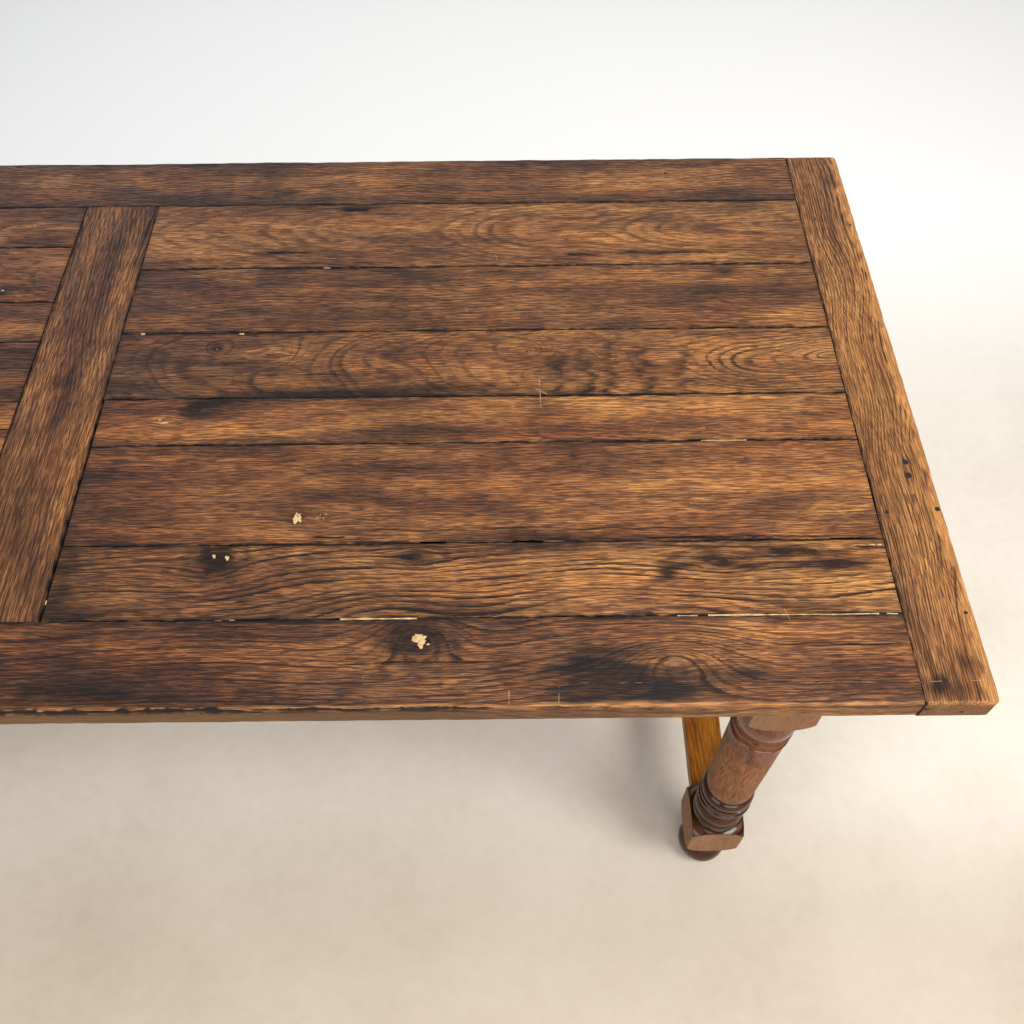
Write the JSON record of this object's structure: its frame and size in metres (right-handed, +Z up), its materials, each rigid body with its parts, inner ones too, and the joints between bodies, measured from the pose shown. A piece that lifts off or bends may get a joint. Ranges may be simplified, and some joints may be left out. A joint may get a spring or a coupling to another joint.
{
  "type": "dining table",
  "caption": "Farmhouse dining table: framed oak plank top with a cross rail, turned legs with square blocks, aprons and an H stretcher.",
  "frame": {"origin": "on the floor, under the middle of the top", "axes": "+X along the length to the right, +Y to the back, +Z up"},
  "size_m": [2.124, 0.888, 0.76],
  "materials": {
    "top_oak": "aged waxed oak, dark stained",
    "leg_oak": "aged oak, glossy on the turnings",
    "apron_oak": "aged oak, satin",
    "stretcher_oak": "aged oak, golden, waxed",
    "peg_oak": "oak, matte"
  },
  "bodies": {
    "root": {"apron_pegs": "peg_oak", "back_apron": "apron_oak", "back_left_leg": "leg_oak", "back_rail": "top_oak", "back_right_leg": "leg_oak", "centre_stretcher": "stretcher_oak", "centre_stretcher_pegs": "peg_oak", "cross_bearer": "apron_oak", "cross_rail": "top_oak", "front_apron": "apron_oak", "front_left_leg": "leg_oak", "front_rail": "top_oak", "front_right_leg": "leg_oak", "glue_blocks": "apron_oak", "left_apron": "apron_oak", "left_end_board": "top_oak", "left_plank_1": "top_oak", "left_plank_2": "top_oak", "left_plank_3": "top_oak", "left_plank_4": "top_oak", "left_plank_5": "top_oak", "left_plank_6": "top_oak", "left_plank_7": "top_oak", "left_stretcher": "stretcher_oak", "right_apron": "apron_oak", "right_end_board": "top_oak", "right_plank_1": "top_oak", "right_plank_2": "top_oak", "right_plank_3": "top_oak", "right_plank_4": "top_oak", "right_plank_5": "top_oak", "right_plank_6": "top_oak", "right_stretcher": "stretcher_oak", "stretcher_pegs": "peg_oak"}
  },
  "joints": []
}
